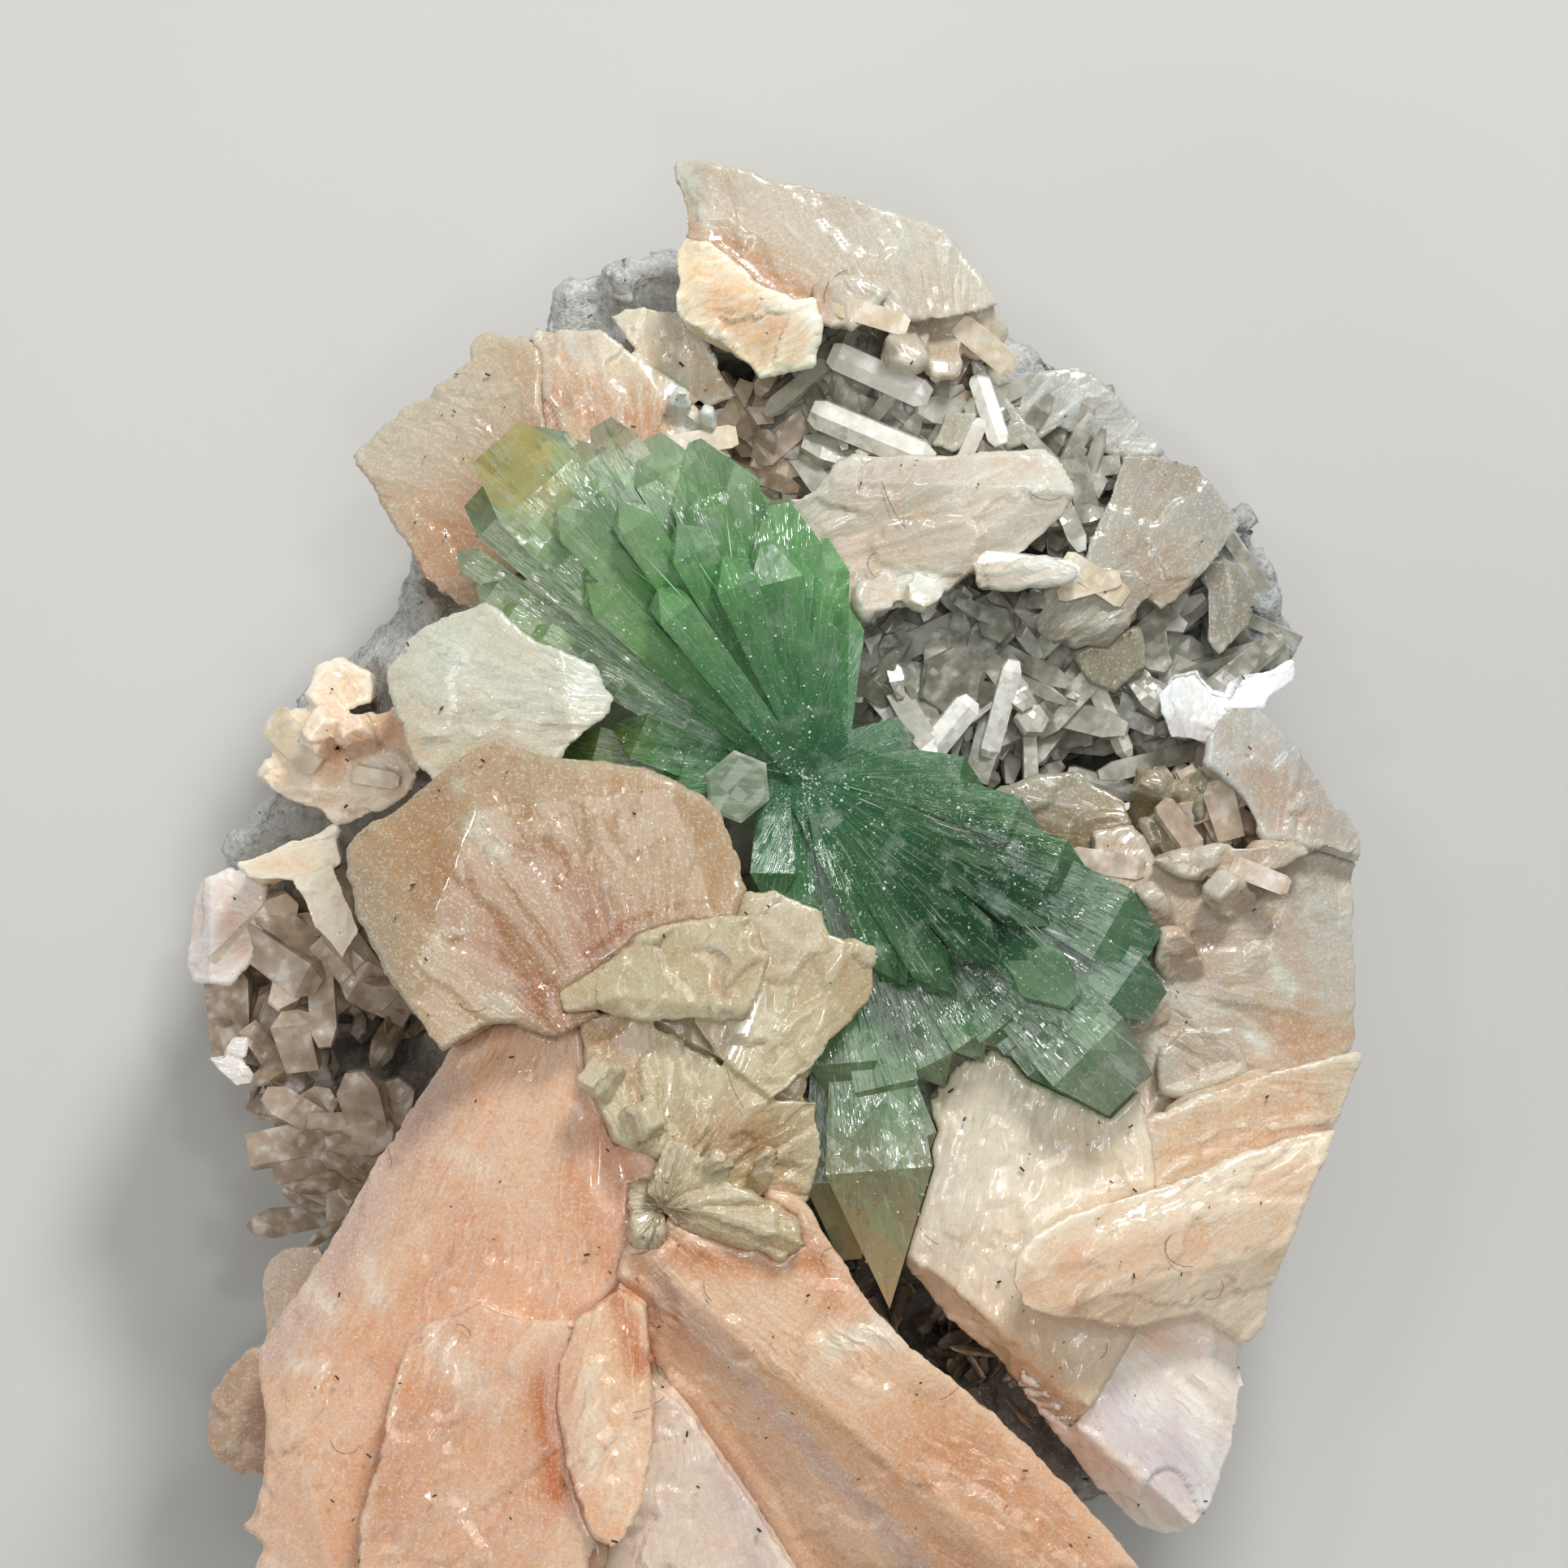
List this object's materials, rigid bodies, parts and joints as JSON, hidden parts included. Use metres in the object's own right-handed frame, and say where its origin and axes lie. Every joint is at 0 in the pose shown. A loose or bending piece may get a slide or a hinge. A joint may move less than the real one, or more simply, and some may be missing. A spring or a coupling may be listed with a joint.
{
  "type": "apophyllite with stilbite specimen",
  "caption": "Green apophyllite bow-tie among peach and cream stilbite blades on a piece of grey rock cut flat at the back.",
  "frame": {"origin": "on the flat cut back, under the middle of the specimen's width and length", "axes": "+Z out of the display face from the flat back, +Y up the specimen towards its crown, +X to the right seen from the display side"},
  "size_m": [0.0731, 0.0949, 0.049],
  "materials": {
    "grey_rock": "rough grey and blue-grey chalcedony-lined rock",
    "green_apophyllite": "clear green crystal with glassy faces and fine inner needles",
    "peach_stilbite": "translucent peach crystal with a waxy to pearly gloss",
    "cream_stilbite": "translucent cream crystal with a waxy to pearly gloss",
    "pink_stilbite": "translucent greyish pink crystal with a waxy gloss",
    "pearly_stilbite": "white to lavender crystal with a silky, pearly sheen"
  },
  "bodies": {
    "root": {"rock_matrix": "grey_rock", "apophyllite_bow_tie": "green_apophyllite", "stilbite_front_cluster": "cream_stilbite", "stilbite_front_paddle": "peach_stilbite", "stilbite_cream_leaf": "cream_stilbite", "stilbite_fan_petal": "peach_stilbite", "stilbite_prism_band": "peach_stilbite", "stilbite_pearly_flute": "pearly_stilbite", "stilbite_lower_sheaf": "peach_stilbite", "stilbite_leaf_over_pearly": "pink_stilbite", "stilbite_pearly_blade": "pearly_stilbite", "stilbite_lower_tip": "pearly_stilbite", "stilbite_peach_plate": "peach_stilbite", "stilbite_right_mass": "pink_stilbite", "stilbite_right_horn": "pink_stilbite", "stilbite_right_cream_blade": "cream_stilbite", "stilbite_peach_wedge": "peach_stilbite", "stilbite_crown_blade": "pink_stilbite", "stilbite_upper_middle": "peach_stilbite", "stilbite_left_wing": "pink_stilbite", "stilbite_centre_right_blade": "pink_stilbite", "stilbite_shoulder_blade": "cream_stilbite", "stilbite_right_tablet": "pink_stilbite", "stilbite_hex_crystal": "cream_stilbite", "stilbite_edge_crystal": "pink_stilbite", "pearly_crystal": "pearly_stilbite", "stilbite_left_group": "peach_stilbite", "stilbite_left_leaves": "cream_stilbite", "stilbite_far_left_blade": "pink_stilbite", "white_rim_crystal": "pearly_stilbite", "stilbite_left_knob": "cream_stilbite", "stilbite_lower_left_knob": "pink_stilbite"}
  },
  "joints": []
}
